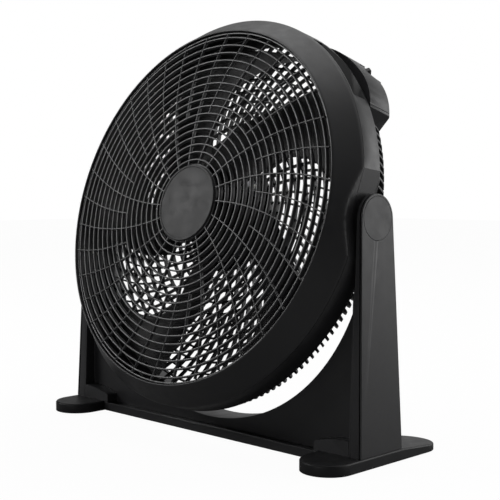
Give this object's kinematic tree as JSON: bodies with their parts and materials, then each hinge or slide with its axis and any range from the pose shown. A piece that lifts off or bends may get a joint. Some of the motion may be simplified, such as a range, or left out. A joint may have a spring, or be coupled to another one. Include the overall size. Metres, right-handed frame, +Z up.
{
  "type": "floor fan",
  "caption": "Round drum floor fan: a tilting head on an arched stand with runner feet, a domed front grille, swept blades, a ribbed rear guard and a control box with a speed knob.",
  "frame": {"origin": "centre of the whole fan's bounding box, on the floor that the rubber pads rest on", "axes": "+Z up; -Y towards the front, where the air leaves; +X to the right for someone who faces the front"},
  "size_m": [0.5856, 0.2597, 0.5865],
  "materials": {
    "stand_plastic": "satin black moulding",
    "cover_plastic": "fine-grained black moulding",
    "foot_plastic": "satin black moulding",
    "pad_rubber": "matt black",
    "drum_plastic": "satin black moulding",
    "grille_plastic": "satin black moulding",
    "badge_plastic": "satin black with a plain face",
    "guard_plastic": "satin black moulding",
    "blade_plastic": "semi-gloss black",
    "knob_plastic": "semi-gloss black",
    "cast_alloy": "as cast",
    "lamination_steel": "stacked sheet edges",
    "winding_copper": "enamelled copper wire",
    "bearing_bronze": "sintered bronze",
    "shaft_steel": "bright steel",
    "screw_steel": "zinc plated",
    "washer_fibre": "pale nylon",
    "switch_phenolic": "brown moulding",
    "capacitor_shell": "pale grey moulding",
    "gland_rubber": "matt black"
  },
  "bodies": {
    "stand": {"left_leg": "stand_plastic", "right_leg": "stand_plastic", "left_leg_cover": "cover_plastic", "right_leg_cover": "cover_plastic", "left_pivot_cap": "cover_plastic", "right_pivot_cap": "cover_plastic", "stand_web": "stand_plastic", "base_rail": "stand_plastic", "corner_blocks": "stand_plastic", "left_foot": "foot_plastic", "right_foot": "foot_plastic", "foot_pads": "pad_rubber", "foot_screws": "screw_steel", "friction_washers": "washer_fibre"},
    "head": {"front_bezel": "drum_plastic", "front_grille": "grille_plastic", "hub_cap": "badge_plastic", "rear_shell": "drum_plastic", "rear_guard": "guard_plastic", "motor_mount": "guard_plastic", "motor_front_cover": "cast_alloy", "motor_rear_cover": "guard_plastic", "stator_core": "lamination_steel", "stator_windings": "winding_copper", "motor_bearings": "bearing_bronze", "rear_bearing_bracket": "cast_alloy", "motor_screws": "screw_steel", "rim_screws": "screw_steel", "pivot_bolts": "shaft_steel", "control_housing": "drum_plastic", "control_end_cap": "drum_plastic", "rotary_switch": "switch_phenolic", "run_capacitor": "capacitor_shell", "cord_gland": "gland_rubber", "control_screws": "screw_steel"},
    "blower": {"impeller": "blade_plastic", "spinner_nut": "blade_plastic", "rotor_core": "lamination_steel", "motor_shaft": "shaft_steel"},
    "knob": {"speed_knob": "knob_plastic", "knob_spindle": "shaft_steel"}
  },
  "joints": [
    {"name": "head_tilt", "type": "hinge", "parent": "stand", "child": "head", "pos_m": [0, -0.0021, 0.31], "axis": [-1, 0, 0], "range_deg": [-30, 75]},
    {"name": "fan_spin", "type": "hinge", "parent": "head", "child": "blower", "pos_m": [0, -0.0021, 0.31], "axis": [0, 0.965, -0.2622], "continuous": true},
    {"name": "knob_turn", "type": "hinge", "parent": "head", "child": "knob", "pos_m": [0.18319, 0.08532, 0.49444], "axis": [-0.5171, -0.8088, -0.28], "range_deg": [0, 135]}
  ]
}
